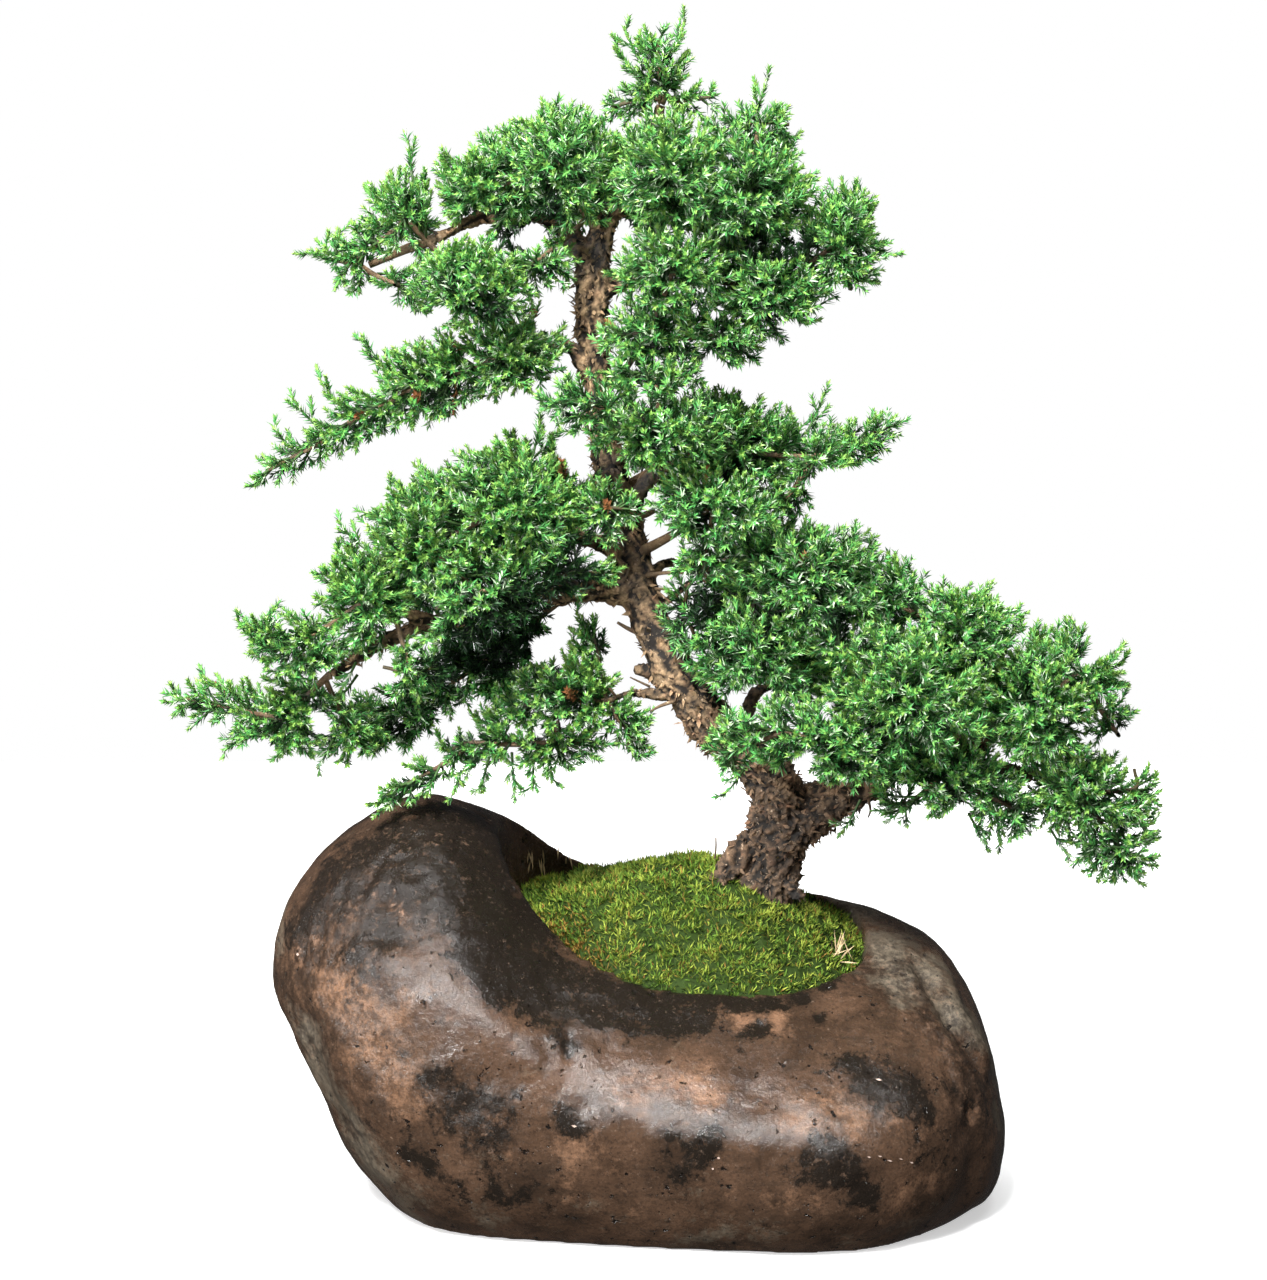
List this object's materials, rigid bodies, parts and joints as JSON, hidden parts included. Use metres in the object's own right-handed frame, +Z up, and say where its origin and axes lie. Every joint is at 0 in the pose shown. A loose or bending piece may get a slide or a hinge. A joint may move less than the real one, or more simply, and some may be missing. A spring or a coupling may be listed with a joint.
{
  "type": "juniper bonsai in a pot",
  "caption": "Small trained juniper with a leaning, curving trunk and layered needle foliage, set in moss in a glazed boulder-shaped pot; it stands on the pot's flat underside.",
  "frame": {"origin": "middle of the pot's flat underside, at the level of the surface that the pot stands on", "axes": "+Z up along the tree's height; +X to the right of the picture's view, along the pot's length; +Y away from the viewer"},
  "size_m": [0.4008, 0.1859, 0.4687],
  "materials": {
    "glazed_pot": "glossy mottled brown and black glaze",
    "soil": "rough dark granules",
    "moss": "matte moss",
    "bark": "flaky grey-brown bark",
    "foliage": "fresh green juniper needles"
  },
  "bodies": {
    "root": {"bough_back_high": "bark", "bough_back_left": "bark", "bough_back_low": "bark", "bough_back_right": "bark", "bough_crown_left": "bark", "bough_crown_right": "bark", "bough_left": "bark", "bough_left_rear": "bark", "bough_left_up": "bark", "bough_low": "bark", "bough_mid": "bark", "bough_mid_right": "bark", "bough_right": "bark", "bough_right_front": "bark", "bough_right_heart": "bark", "bough_right_outer": "bark", "bough_right_rise": "bark", "bough_right_under": "bark", "bough_tier": "bark", "foliage_back_crown": "foliage", "foliage_back_left": "foliage", "foliage_back_low": "foliage", "foliage_back_mid": "foliage", "foliage_back_right": "foliage", "foliage_back_right_high": "foliage", "foliage_crown_left": "foliage", "foliage_crown_left_end": "foliage", "foliage_crown_right": "foliage", "foliage_crown_right_end": "foliage", "foliage_crown_right_under": "foliage", "foliage_leader": "foliage", "foliage_left_collar": "foliage", "foliage_left_dome": "foliage", "foliage_left_end": "foliage", "foliage_left_rear": "foliage", "foliage_left_shoulder": "foliage", "foliage_low_spray": "foliage", "foliage_mid_front": "foliage", "foliage_mid_low": "foliage", "foliage_mid_right": "foliage", "foliage_right_crest": "foliage", "foliage_right_end": "foliage", "foliage_right_front": "foliage", "foliage_right_heart": "foliage", "foliage_right_outer": "foliage", "foliage_right_under": "foliage", "foliage_right_upper": "foliage", "foliage_tier_left": "foliage", "moss": "moss", "pot": "glazed_pot", "soil": "soil", "trunk": "bark"}
  },
  "joints": []
}
